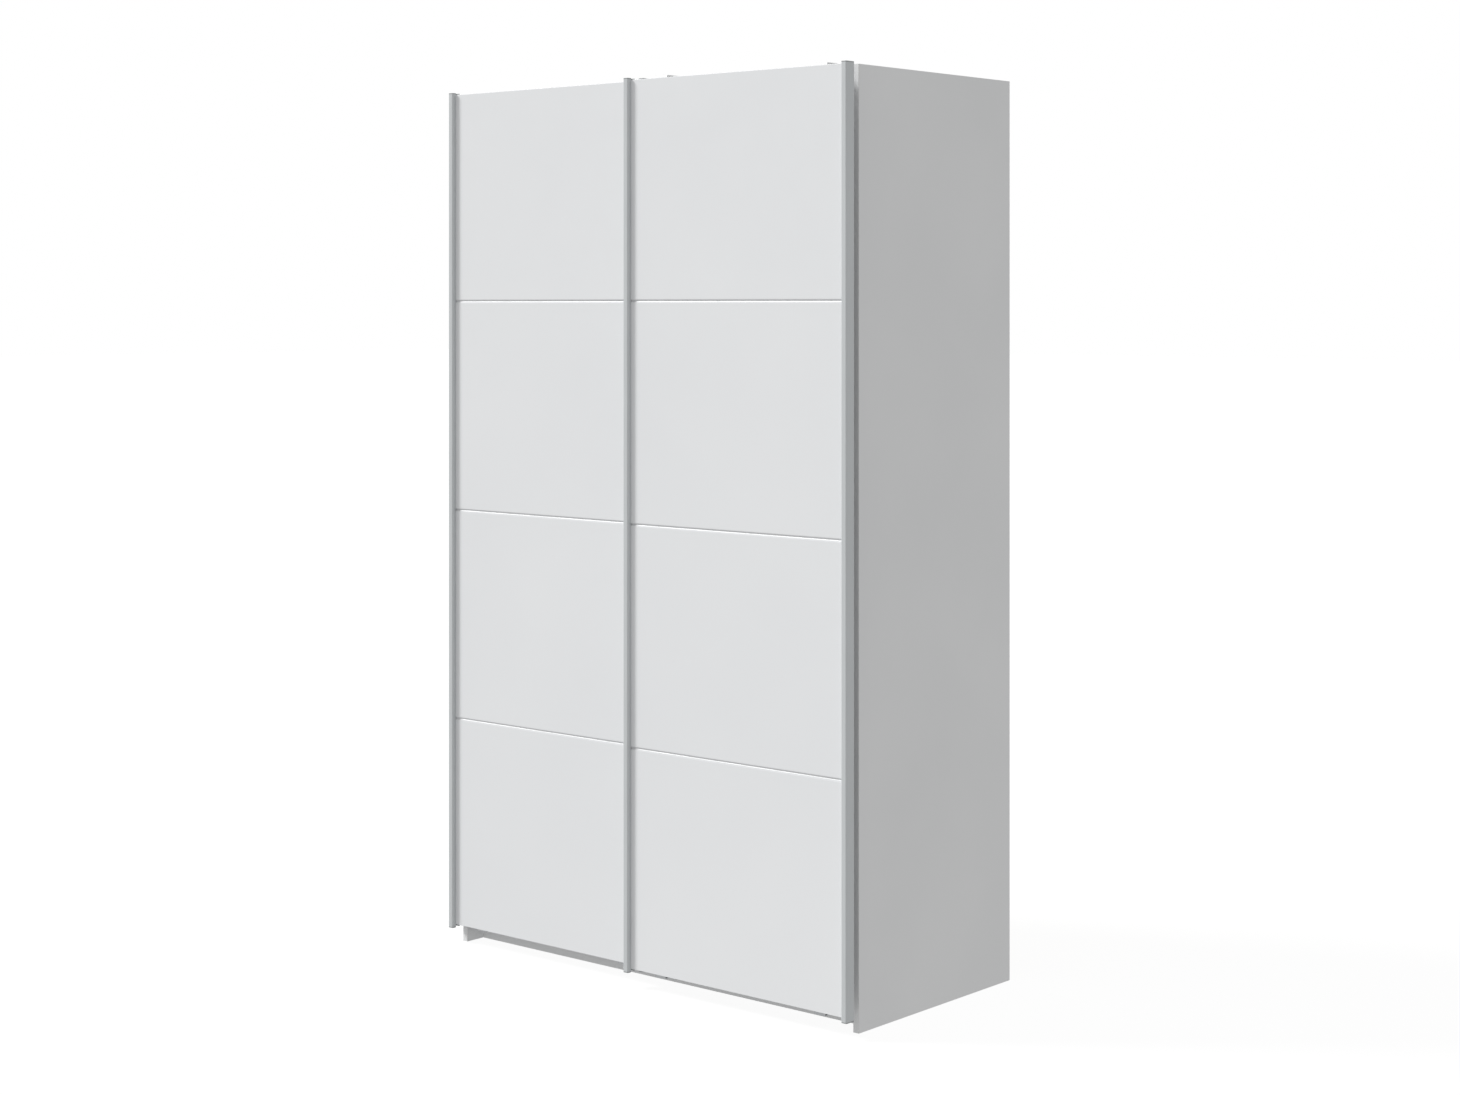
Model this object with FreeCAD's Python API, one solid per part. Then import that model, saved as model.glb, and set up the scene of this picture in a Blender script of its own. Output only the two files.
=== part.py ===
import FreeCAD, Part
import math
import os

# Sliding door wardrobe: a flat-pack carcass, two doors hung from wheels on a two-rib rail, and a
# two-channel guide rail below. Millimetres. +Z is up, the doors face -Y, and the origin is on the
# floor under the middle of the whole piece. The left door runs behind, the right door in front.

# ---- carcass boards
carcass_width = 1190.0
carcass_depth = 552.0
carcass_height = 2015.0
board = 15.0                    # thickness of every chipboard panel
top_drop = 60.0                 # the top panel lies this far below the sides' top edges
bottom_panel_z = 58.0           # underside of the bottom panel
plinth_recess = 52.0            # from the carcass front to the plinth's face
rear_plinth_inset = 30.0
edge_round = 1.0                # softened front edges of the boards

# ---- back panels
back_board = 3.0
back_inset = 1.0                # the back panels lie this far inside the sides' rear edges
rebate_width = 8.0              # rebate along the side panels' rear edges
joint_strip_wall = 1.0
joint_strip_width = 20.0
back_gap = 2.0                  # between the two back panels, filled by the strip's web
nail_head_r = 2.5
nail_head_height = 0.8
nail_shank_r = 0.7
nail_length = 20.0
nail_pitch = 180.0

# ---- doors
door_overhang = 15.0            # how far the shut doors reach past the carcass's sides
door_overlap = 36.0             # how far the doors lie over each other when shut
door_board = 15.0
door_bottom_z = 42.8
door_top_gap = 2.4              # the doors end this far below the carcass's top edge
inner_door_gap = 8.5            # from the carcass front to the left door's back
strip_proud = 10.5              # height of the edge strips' bead over the door's face
door_pass_gap = 1.5             # from the left door's bead to the right door's back
panels_per_door = 4             # fields on each door, with a groove between them
groove_width = 10.0
groove_depth = 2.0

# ---- edge strips
strip_width = 15.0
strip_wall = 1.2
strip_round = 3.5               # outer corners of the bead
strip_back_lap = 12.0           # lap round the door's back
strip_above_door = 1.4          # the strips run on past the door's top and bottom edges
strip_below_door = 4.9
cap_height = 2.4
cap_plug_length = 12.0
cap_plug_gap = 0.2

# ---- hangers and wheels
hanger_inset = 90.0             # from a door's edge to the middle of its hanger
hanger_width = 40.0
hanger_sheet = 2.0
hanger_bend = 3.5               # outer corners of the bent sheet
hanger_reach_down = 84.0        # from the door's top edge to the foot of the hanger
hanger_over_axle = 13.5         # left door's plates end this far above their axles
hanger_under_axle = 9.0         # right door's hanging legs end this far below their axles
hanger_screw_aside = 12.0       # two lower screws, either side of the plate's middle
hanger_low_screw = 12.0         # heights of the screws over the plate's foot
hanger_high_screw = 34.0
pocket_gap = 0.3                # round the hanger and guide plates in the door's back
axle_drop = 25.0                # from the carcass's top edge to the wheel axles
axle_r = 3.0
collar_wall = 1.5               # how much thicker the axle's collar and rivet head are
axle_gap = 0.05                 # running clearance in the wheel's bore
rivet_head = 1.2
wheel_side_gap = 0.3
wheel_roll_r = 15.0             # radius on which the wheel runs
wheel_flange = 3.0              # height of the wheel's flanges over its running radius
wheel_width = 8.0
wheel_flange_slope = 1.0        # how much wider the groove is at its mouth, each side
wheel_hub_wall = 3.0
wheel_web_recess = 1.0          # how far the web lies inside the wheel's faces
wheel_rim = 2.5                 # rim under the groove
wheel_bevel = 0.5
roll_gap = 0.3                  # between a wheel and its rib, for free running
inner_wheel_y = 6.0             # from the carcass front to the middle of the left door's wheels
outer_wheel_y = 31.0
arm_over_cap = 0.5              # from the left door's strip caps to the right door's arms
arm_behind_wheel = 5.5          # from the hanging leg to the wheel's near side

# ---- running rail
rail_base = 2.0
rail_front = 2.0                # from the carcass front to the rail
rail_depth = 40.0
rib_width = 3.0
rib_side_gap = 0.4              # between a rib and the wheel's groove
rail_end_gap = 1.0
rail_screw_count = 5
stop_gap = 1.0                  # from a wheel to its end stop at the end of travel
stop_length = 20.0
stop_width = 12.0
stop_over_axle = 10.0

# ---- guide rail and guides
guide_base = 2.0
guide_wall = 1.5
guide_channel = 8.0
guide_front = 1.0
guide_width = 30.0
guide_sheet = 2.0
guide_block_gap = 0.5           # from a guide block to its channel wall
guide_block_top_gap = 2.0
guide_reach_up = 38.0           # height of the guide's plate on the door's back
guide_screw_up = 24.7           # from the door's bottom edge to the guide's screws
guide_screw_aside = 9.0
guide_block_round = 2.1
arm_between = 1.0               # from the right door's guide arms up to the left door's
guide_arm_gap = 2.0             # from the left door's guide arms up to the guide rail
arm_under_cap = 0.5             # from the left door's strip caps down to the right door's arms

# ---- inside
shelf_count = 4
shelf_setback = 20.0
shelf_end_gap = 1.0
hat_shelf_drop = 300.0          # from the top panel down to the hat shelf's underside
pin_hole_r = 2.5
pin_web = 1.0                   # board left between pin holes bored from both its faces
pin_gap = 0.1
pin_pitch = 32.0
pin_first_up = 208.0            # from the bottom panel up to the first row of pin holes
pin_spare_rows = 1              # rows of pin holes above the top shelf's own
pin_column_inset = 60.0
pin_tab_length = 8.0
pin_tab_width = 12.0
pin_tab_height = 2.0
pin_neck_half = 1.0
rod_r = 12.5
rod_wall = 1.2
rod_drop = 60.0                 # from the hat shelf down to the hanging rail's middle
socket_base = 2.0
socket_rim = 1.5                # round the heads of the socket's screws
socket_wall = 2.5
socket_gap = 0.3
socket_length = 12.0
socket_screw_gap = 0.2          # from the cup to its screws' heads

# ---- fittings and screws
cam_r = 7.5
cam_floor = 2.5                 # board left under a cam's pocket
cam_setback = 34.0
cam_gap = 0.1
cam_slot = 2.0
cam_slot_depth = 1.5
bolt_r = 3.0
bolt_thread = 11.0
bolt_gap = 0.3
dowel_r = 4.0
dowel_half = 12.0
dowel_gap = 0.1
dowel_spacing = 32.0
fitting_inset = 80.0            # from a board's edge to its cam fitting
plinth_cam_drop = 20.3          # from the bottom panel down to a plinth's cam
plinth_dowel_drop = 22.0        # from a plinth's cam bolt down to its dowel
screw_r = 1.5
screw_head_r = 3.5
screw_length = 12.0
screw_gap = 0.1
recess_width = 0.6              # cross recess in a screw's head
recess_depth = 1.2

# ---- wall brackets
bracket_inset = 80.0            # from a side panel to the middle of its bracket
bracket_width = 30.0
bracket_leg = 30.0
bracket_sheet = 2.0
bracket_hole_r = 2.75
bracket_hole_up = 18.0
bracket_screw_in = 19.5         # from the wall to the bracket's screws
bracket_screw_aside = 7.5

# ---- sizes and places worked out from those above
door_width = (carcass_width + 2 * door_overhang + door_overlap) / 2
collar_r = axle_r + collar_wall
wheel_r = wheel_roll_r + wheel_flange
wheel_hub_r = axle_r + wheel_hub_wall
cam_depth = board - cam_floor
cup_r = rod_r + socket_gap + socket_wall
socket_screw_out = cup_r + socket_screw_gap + screw_head_r
socket_r = socket_screw_out + screw_head_r + socket_rim
outer_door_gap = inner_door_gap + door_board + strip_proud + door_pass_gap
door_reach = outer_door_gap + door_board + strip_proud
front_y = (door_reach - carcass_depth) / 2
rear_y = front_y + carcass_depth
half_carcass = carcass_width / 2
inside_x = half_carcass - board
door_top_z = carcass_height - door_top_gap
doors_half = door_width - door_overlap / 2
travel = 2 * doors_half - door_width
top_panel_z = carcass_height - top_drop - board
top_surface_z = top_panel_z + board
back_face_y = rear_y - back_inset - back_board
bay_bottom_z = bottom_panel_z + board
axle_z = carcass_height - axle_drop
rib_top_z = axle_z - wheel_roll_r - roll_gap
strip_top_z = door_top_z + strip_above_door
cap_top_z = strip_top_z + cap_height
arm_z = cap_top_z + arm_over_cap
strip_bottom_z = door_bottom_z - strip_below_door
cap_bottom_z = strip_bottom_z - cap_height
outer_arm_z = cap_bottom_z - arm_under_cap - guide_sheet
inner_arm_z = outer_arm_z + guide_sheet + arm_between
guide_rail_z = inner_arm_z + guide_sheet + guide_arm_gap
hat_shelf_z = top_panel_z - hat_shelf_drop
pin_first_z = bay_bottom_z + pin_first_up
pin_hole_depth = (board - pin_web) / 2
plinth_cam_z = bottom_panel_z - plinth_cam_drop
bracket_x = inside_x - bracket_inset
door_plate_xs = (hanger_inset, door_width - hanger_inset)
slack = 1.0                     # overshoot of cutting tools past the faces they cut


def vector(x, y, z):
    return FreeCAD.Vector(x, y, z)


def block(x0, x1, y0, y1, z0, z1):
    """Box between two corners."""
    return Part.makeBox(x1 - x0, y1 - y0, z1 - z0, vector(x0, y0, z0))


def rod(start, end, radius):
    """Cylinder from one point to another."""
    axis = end - start
    return Part.makeCylinder(radius, axis.Length, start, axis)


def fuse(shapes):
    """One solid from pieces that meet, with seams removed."""
    return shapes[0].multiFuse(shapes[1:]).removeSplitter()


def cut(shape, tools):
    return shape.cut(Part.makeCompound(tools)) if tools else shape


def extrude_section(points, height_vector):
    """Straight profile from a closed outline of points."""
    outline = Part.makePolygon(points + [points[0]])
    return Part.Face(outline).extrude(height_vector)


nodes = {}                      # node name -> its solids
holes = {}                      # board name -> tools that cut it


def add(name, *shapes):
    nodes.setdefault(name, []).extend(shapes)


def drill(name, *tools):
    holes.setdefault(name, []).extend(tools)


def soften(shape, y):
    """Round the two long edges of a board at the plane Y = y."""
    edges = [e for e in shape.Edges if abs(e.BoundBox.YMin - y) < 1e-6 and abs(e.BoundBox.YMax - y) < 1e-6]
    longest = sorted(edges, key=lambda e: -e.Length)[:2]
    return shape.makeFillet(edge_round, longest)


# ---- carcass

def side_panel(sign):
    """Upright side with a rebate for the back panel along its rear edge."""
    outer = sign * half_carcass
    inner = sign * inside_x
    x0, x1 = sorted((outer, inner))
    panel = soften(block(x0, x1, front_y, rear_y, 0, carcass_height), front_y)
    reach = sign * (inside_x + rebate_width)
    past = sign * (inside_x - slack)
    x0, x1 = sorted((reach, past))
    return panel.cut(block(x0, x1, back_face_y, rear_y + slack, bottom_panel_z, top_surface_z))


def level_panel(z):
    """Top or bottom panel between the sides."""
    return soften(block(-inside_x, inside_x, front_y, back_face_y, z, z + board), front_y)


def build_carcass():
    add("side_panel_left", side_panel(-1))
    add("side_panel_right", side_panel(1))
    add("top_panel", level_panel(top_panel_z))
    add("bottom_panel", level_panel(bottom_panel_z))
    partition_rear = back_face_y - joint_strip_wall
    partition = block(-board / 2, board / 2, front_y, partition_rear, bay_bottom_z, top_panel_z)
    add("centre_partition", soften(partition, front_y))
    plinth_y = front_y + plinth_recess
    rear_plinth_y = back_face_y - rear_plinth_inset - board
    add("plinth_front", block(-inside_x, inside_x, plinth_y, plinth_y + board, 0, bottom_panel_z))
    add("plinth_rear", block(-inside_x, inside_x, rear_plinth_y, rear_plinth_y + board, 0, bottom_panel_z))
    add("plinth_support", block(-board / 2, board / 2, plinth_y + board, rear_plinth_y, 0, bottom_panel_z))


def cam_fitting(point, into, face, end_board, joined_board, depth_step):
    """Cam, bolt and dowel that pull the end of one board against another.

    point lies on the contact face in the middle of the joined board's thickness, into points along
    the joined board, face points out of the cam's mouth, and depth_step leads to the dowel."""
    centre = point + into * cam_setback
    mouth = centre + face * (board / 2)
    floor = mouth - face * cam_depth
    bolt_start = point - into * bolt_thread
    drill(joined_board, rod(floor, mouth + face * slack, cam_r + cam_gap))
    drill(joined_board, rod(point - into * slack, centre, bolt_r + bolt_gap))
    drill(end_board, rod(bolt_start, point + into * slack, bolt_r + bolt_gap))
    across = into.cross(face)
    slot_corner = mouth - face * cam_slot_depth
    slot = rod(slot_corner - across * cam_r * 2, slot_corner + across * cam_r * 2, cam_slot / 2)
    disc = rod(floor, mouth, cam_r).cut(rod(point, centre, bolt_r + bolt_gap)).cut(slot)
    add("cam_discs", disc)
    add("cam_bolts", rod(bolt_start, centre, bolt_r))
    peg = point + depth_step
    peg_start = peg - into * dowel_half
    peg_end = peg + into * dowel_half
    drill(end_board, rod(peg_start, peg + into * slack, dowel_r + dowel_gap))
    drill(joined_board, rod(peg - into * slack, peg_end, dowel_r + dowel_gap))
    add("dowels", rod(peg_start, peg_end, dowel_r))


def build_carcass_fittings():
    up = vector(0, 0, 1)
    right = vector(1, 0, 0)
    back = vector(0, 1, 0)
    fitting_ys = (front_y + fitting_inset, back_face_y - fitting_inset)
    peg_steps = (back * dowel_spacing, back * -dowel_spacing)
    for sign, side in ((-1, "side_panel_left"), (1, "side_panel_right")):
        into = right * -sign
        for y, peg_step in zip(fitting_ys, peg_steps):
            top_point = vector(sign * inside_x, y, top_panel_z + board / 2)
            bottom_point = vector(sign * inside_x, y, bottom_panel_z + board / 2)
            cam_fitting(top_point, into, up, side, "top_panel", peg_step)
            cam_fitting(bottom_point, into, up * -1, side, "bottom_panel", peg_step)
        for name in ("plinth_front", "plinth_rear"):
            middle = nodes[name][0].BoundBox.Center
            cam_face = back if name == "plinth_front" else back * -1
            foot = vector(sign * inside_x, middle.y, plinth_cam_z)
            cam_fitting(foot, into, cam_face, side, name, up * -plinth_dowel_drop)
    for y, peg_step in zip(fitting_ys, peg_steps):
        upper = vector(0, y, top_panel_z)
        lower = vector(0, y, bay_bottom_z)
        cam_fitting(upper, up * -1, right * -1, "top_panel", "centre_partition", peg_step)
        cam_fitting(lower, up, right * -1, "bottom_panel", "centre_partition", peg_step)


def build_back():
    """Two hardboard sheets, the strip that joins them, and the nails round their edges."""
    edge_x = inside_x + rebate_width
    low = bottom_panel_z
    high = top_surface_z
    web_half = back_gap / 2
    strip_half = joint_strip_width / 2
    rear_face = back_face_y + back_board
    for sign, name in ((-1, "back_panel_left"), (1, "back_panel_right")):
        x0, x1 = sorted((sign * web_half, sign * edge_x))
        add(name, block(x0, x1, back_face_y, rear_face, low, high))
    z0 = bay_bottom_z
    z1 = top_panel_z
    web = block(-web_half, web_half, back_face_y, rear_face, z0, z1)
    front_flange = block(-strip_half, strip_half, back_face_y - joint_strip_wall, back_face_y, z0, z1)
    rear_flange = block(-strip_half, strip_half, rear_face, rear_face + joint_strip_wall, z0, z1)
    add("back_joint_strip", fuse([web, front_flange, rear_flange]))
    for sign, hand in ((-1, "left"), (1, "right")):
        sheet = "back_panel_" + hand
        side = "side_panel_" + hand
        nail_x = sign * (inside_x + rebate_width / 2)
        rows = int((high - low - 2 * board) // nail_pitch)
        for k in range(rows + 1):
            nail(nail_x, low + board + (high - low - 2 * board) * k / rows, sheet, side)
        columns = int((inside_x - strip_half) // nail_pitch)
        for k in range(columns):
            x = sign * (strip_half + board + (inside_x - 2 * board - strip_half) * k / columns)
            nail(x, low + board / 2, sheet, "bottom_panel")
            nail(x, high - board / 2, sheet, "top_panel")


def nail(x, z, sheet, board_name):
    rear_face = back_face_y + back_board
    tip = vector(x, rear_face - nail_length, z)
    face = vector(x, rear_face, z)
    head_top = vector(x, rear_face + nail_head_height, z)
    add("back_nails", fuse([rod(tip, face, nail_shank_r), rod(face, head_top, nail_head_r)]))
    bore = rod(tip, face + vector(0, slack, 0), nail_shank_r + pin_gap)
    drill(sheet, bore)
    drill(board_name, bore)


# ---- screws

def screw(head_point, into, board_name, plate_holes):
    """Countersunk screw flush with the plate at head_point; returns it and bores its board."""
    tip = head_point + into * screw_length
    shank = rod(head_point, tip, screw_r)
    head_depth = screw_head_r - screw_r
    cone = Part.makeCone(screw_head_r, screw_r, head_depth, head_point, into)
    seat = Part.makeCone(screw_head_r + screw_gap, screw_r + screw_gap, head_depth, head_point, into)
    bore = rod(head_point - into * slack, tip, screw_r + screw_gap)
    plate_holes.extend([seat, bore])
    drill(board_name, bore)
    return fuse([shank, cone]).cut(cross_recess(head_point, into))


def cross_recess(point, into):
    """Two crossing slots for the driver in a screw's head."""
    level = vector(0, 0, 1) if abs(into.z) < 0.5 else vector(1, 0, 0)
    side = into.cross(level)
    bars = []
    for along in (side, level):
        across = into.cross(along) * recess_width
        start = point - along * screw_r - across / 2
        end = point + along * screw_r - across / 2
        bars.append(extrude_section([start, end, end + across, start + across], into * recess_depth))
    return bars[0].fuse(bars[1])


# ---- inside fittings

def build_hat_side():
    """Hat shelf on four pins, with the hanging rail in its two sockets below it."""
    x0 = -inside_x + shelf_end_gap
    x1 = -board / 2 - shelf_end_gap
    y0 = front_y + shelf_setback
    y1 = back_face_y - 2 * joint_strip_wall
    add("hat_shelf", soften(block(x0, x1, y0, y1, hat_shelf_z, hat_shelf_z + board), y0))
    for y in pin_columns():
        shelf_pin(-inside_x, 1, y, hat_shelf_z, "side_panel_left", True)
        shelf_pin(-board / 2, -1, y, hat_shelf_z, "centre_partition", True)
    rod_y = (front_y + back_face_y) / 2
    rod_z = hat_shelf_z - rod_drop
    ends = (vector(-inside_x, rod_y, rod_z), vector(-board / 2, rod_y, rod_z))
    inward = vector(1, 0, 0)
    tube_start = ends[0] + inward * socket_base
    tube_end = ends[1] - inward * socket_base
    bore = rod(tube_start - inward, tube_end + inward, rod_r - rod_wall)
    add("hanging_rail", rod(tube_start, tube_end, rod_r).cut(bore))
    rail_socket(ends[0], inward, "side_panel_left")
    rail_socket(ends[1], inward * -1, "centre_partition")


def rail_socket(end, into, side):
    """Round base with an open-topped cup that the hanging rail drops into."""
    up = vector(0, 0, 1)
    base = rod(end, end + into * socket_base, socket_r)
    cup = rod(end, end + into * socket_length, cup_r)
    hollow = rod(end + into * socket_base, end + into * (socket_length + slack), rod_r + socket_gap)
    half = rod_r + socket_gap
    far = end + into * (socket_length + slack)
    near = end + into * socket_base
    x0, x1 = sorted((near.x, far.x))
    mouth = block(x0, x1, end.y - half, end.y + half, end.z, end.z + socket_r + slack)
    socket = fuse([base, cup]).cut(fuse([hollow, mouth]))
    plate_holes = []
    for step in (-1, 1):
        seat = end + into * socket_base + vector(0, step * socket_screw_out, 0)
        add("rail_socket_screws", screw(seat, into * -1, side, plate_holes))
    add("rail_sockets", cut(socket, plate_holes))


def pin_columns():
    return (front_y + shelf_setback + pin_column_inset, back_face_y - pin_column_inset)


def shelf_pin(face_x, into_bay, y, underside, side, with_hole):
    """Pin whose flat tab carries a shelf's underside; into_bay is +1 or -1 along X."""
    z = underside - pin_tab_height - pin_hole_r
    inner = vector(face_x - into_bay * (pin_hole_depth - pin_gap), y, z)
    stem_end = vector(face_x + into_bay * pin_tab_length, y, z)
    x0, x1 = sorted((face_x, face_x + into_bay * pin_tab_length))
    half = pin_tab_width / 2
    tab = block(x0, x1, y - half, y + half, underside - pin_tab_height, underside)
    stem = rod(inner, stem_end, pin_hole_r - pin_gap)
    neck = block(x0, x1, y - pin_neck_half, y + pin_neck_half, z, underside - pin_tab_height / 2)
    add("shelf_pins", fuse([stem, neck, tab]))
    if with_hole:
        drill(side, pin_hole(face_x, into_bay, y, z))


def pin_hole(face_x, into_bay, y, z):
    bottom = vector(face_x - into_bay * pin_hole_depth, y, z)
    return rod(bottom, vector(face_x + into_bay * slack, y, z), pin_hole_r)


def shelf_row(number):
    """Row of pin holes that puts a shelf nearest to an even share of the bay's height."""
    wanted = bay_bottom_z + (top_panel_z - bay_bottom_z) * number / (shelf_count + 1)
    return round((wanted - pin_first_z) / pin_pitch)


def build_shelves():
    """Adjustable shelves on pins, and the rows of holes that the pins go into."""
    y0 = front_y + shelf_setback
    y1 = back_face_y - 2 * joint_strip_wall
    x0 = board / 2 + shelf_end_gap
    x1 = inside_x - shelf_end_gap
    for y in pin_columns():
        for row in range(shelf_row(shelf_count) + pin_spare_rows + 1):
            z = pin_first_z + row * pin_pitch
            drill("centre_partition", pin_hole(board / 2, 1, y, z))
            drill("side_panel_right", pin_hole(inside_x, -1, y, z))
    for number in range(1, shelf_count + 1):
        underside = pin_first_z + shelf_row(number) * pin_pitch + pin_tab_height + pin_hole_r
        shelf = block(x0, x1, y0, y1, underside, underside + board)
        add("shelf_%d" % number, soften(shelf, y0))
        for y in pin_columns():
            shelf_pin(board / 2, 1, y, underside, "centre_partition", False)
            shelf_pin(inside_x, -1, y, underside, "side_panel_right", False)


# ---- rails

def build_running_rail():
    """Rail with one rib for each door's wheels, screwed to the top panel, and its end stops."""
    x1 = inside_x - rail_end_gap
    y0 = front_y + rail_front
    z0 = top_surface_z
    base = block(-x1, x1, y0, y0 + rail_depth, z0, z0 + rail_base)
    half = rib_width / 2
    ribs = []
    for wheel_y in (inner_wheel_y, outer_wheel_y):
        y = front_y + wheel_y
        ribs.append(block(-x1, x1, y - half, y + half, z0, rib_top_z - half))
        ribs.append(rod(vector(-x1, y, rib_top_z - half), vector(x1, y, rib_top_z - half), half))
    plate_holes = []
    screw_y = front_y + (inner_wheel_y + outer_wheel_y) / 2
    for k in range(rail_screw_count):
        x = (2 * k / (rail_screw_count - 1) - 1) * (x1 - hanger_inset)
        head = vector(x, screw_y, z0 + rail_base)
        add("running_rail_screws", screw(head, vector(0, 0, -1), "top_panel", plate_holes))
    add("running_rail", cut(fuse([base] + ribs), plate_holes))
    inner_left_wheel_x = -doors_half + hanger_inset
    for wheel_y in (inner_wheel_y, outer_wheel_y):
        stop_x = -(inner_left_wheel_x - wheel_r - stop_gap)
        y = front_y + wheel_y
        for sign in (-1, 1):
            a, b = sorted((sign * stop_x, sign * (stop_x + stop_length)))
            stop_top = axle_z + stop_over_axle
            body = block(a, b, y - stop_width / 2, y + stop_width / 2, z0 + rail_base, stop_top)
            stop = body.cut(block(a - slack, b + slack, y - half, y + half, z0, rib_top_z))
            add("rail_end_stops", stop.makeFillet(edge_round, upright_edges(stop)))


def upright_edges(shape):
    """The four outer upright edges of a stop."""
    box = shape.BoundBox
    found = []
    for e in shape.Edges:
        b = e.BoundBox
        at_corner = b.XLength < 1e-6 and b.YLength < 1e-6
        if at_corner and min(abs(b.YMin - box.YMin), abs(b.YMin - box.YMax)) < 1e-6:
            found.append(e)
    return found


def build_guide_rail():
    """Two channels, open downwards, under the front of the bottom panel."""
    x1 = inside_x - rail_end_gap
    y0 = front_y + guide_front
    z1 = bottom_panel_z
    z0 = guide_rail_z
    depth = 3 * guide_wall + 2 * guide_channel
    pieces = [block(-x1, x1, y0, y0 + depth, z1 - guide_base, z1)]
    for k in range(3):
        y = y0 + k * (guide_wall + guide_channel)
        pieces.append(block(-x1, x1, y, y + guide_wall, z0, z1))
    plate_holes = []
    channel_y = y0 + guide_wall + guide_channel / 2
    for k in range(rail_screw_count):
        x = (2 * k / (rail_screw_count - 1) - 1) * (x1 - hanger_inset)
        for y in (channel_y, channel_y + guide_wall + guide_channel):
            head = vector(x, y, z1 - guide_base)
            add("guide_rail_screws", screw(head, vector(0, 0, 1), "bottom_panel", plate_holes))
    add("guide_rail", cut(fuse(pieces), plate_holes))


# ---- doors

def door_y(gap):
    """Y of the plane this far in front of the carcass."""
    return front_y - gap


def strip_section(edge_x, sign, back_gap_y, z):
    """Outline of the edge strip; sign points from the door's edge inwards."""
    back = door_y(back_gap_y)
    face = back - door_board
    nose = face - strip_proud
    r = strip_round
    outer = [
        (edge_x, back), (edge_x, nose + r), (edge_x + sign * r, nose),
        (edge_x + sign * (strip_width - r), nose), (edge_x + sign * strip_width, nose + r),
        (edge_x + sign * strip_width, face), (edge_x + sign * strip_wall, face),
        (edge_x + sign * strip_wall, back - strip_wall),
        (edge_x + sign * strip_back_lap, back - strip_wall), (edge_x + sign * strip_back_lap, back)]
    points = [vector(x, y, z) for x, y in outer]
    tilt = r * (1 - math.sqrt(0.5))
    arcs = {1: vector(edge_x + sign * tilt, nose + tilt, z),
            3: vector(edge_x + sign * (strip_width - tilt), nose + tilt, z)}
    edges = []
    for k, start in enumerate(points):
        end = points[(k + 1) % len(points)]
        edge = Part.Arc(start, arcs[k], end) if k in arcs else Part.LineSegment(start, end)
        edges.append(edge.toShape())
    return Part.Wire(edges)


def edge_strip(edge_x, sign, gap):
    """Extruded strip round a door's edge, its front bead hollow."""
    z0 = strip_bottom_z
    length = strip_top_z - z0
    solid = Part.Face(strip_section(edge_x, sign, gap, z0)).extrude(vector(0, 0, length))
    return solid.cut(bead_hollow(edge_x, sign, gap, z0 - slack, length + 2 * slack, 0))


def bead_hollow(edge_x, sign, gap, z, length, shrink):
    face = door_y(gap) - door_board
    inset = strip_wall + shrink
    x0, x1 = sorted((edge_x + sign * inset, edge_x + sign * (strip_width - inset)))
    y0 = face - strip_proud + inset
    core = block(x0, x1, y0, face - inset, z, z + length)
    upright = [e for e in core.Edges if e.BoundBox.ZLength > length / 2]
    front = [e for e in upright if abs(e.BoundBox.YMin - y0) < 1e-6]
    return core.makeFillet(strip_round - strip_wall, front)


def strip_caps(edge_x, sign, gap):
    """Moulded caps at the strip's two ends, each with a plug in the bead."""
    caps = []
    plug_r = strip_round - strip_wall
    ends = ((strip_top_z, strip_top_z - cap_plug_length), (cap_bottom_z, strip_bottom_z))
    for z, plug_z in ends:
        plate = Part.Face(strip_section(edge_x, sign, gap, z)).extrude(vector(0, 0, cap_height))
        core = block(*sorted((edge_x + sign * strip_wall, edge_x + sign * (strip_wall + plug_r))),
                     door_y(gap) - door_board, door_y(gap) - strip_wall, z, z + cap_height)
        plug = bead_hollow(edge_x, sign, gap, plug_z, cap_plug_length, cap_plug_gap)
        caps.append(fuse([plate, core, plug]))
    return caps


def groove_tool(left_x, face, z):
    """Cutter for a level groove whose two sides are arcs that leave the door's face smoothly."""
    half = groove_width / 2
    radius = (half ** 2 + groove_depth ** 2) / (2 * groove_depth)
    midway = radius - math.sqrt(radius ** 2 - half ** 2 / 4)
    upper = vector(left_x, face, z + half)
    lower = vector(left_x, face, z - half)
    bottom = vector(left_x, face + groove_depth, z)
    front = vector(0, -slack, 0)
    edges = [Part.LineSegment(upper + front, upper),
             Part.Arc(upper, vector(left_x, face + midway, z + half / 2), bottom),
             Part.Arc(bottom, vector(left_x, face + midway, z - half / 2), lower),
             Part.LineSegment(lower, lower + front),
             Part.LineSegment(lower + front, upper + front)]
    outline = Part.Wire([edge.toShape() for edge in edges])
    return Part.Face(outline).extrude(vector(door_width, 0, 0))


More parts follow.
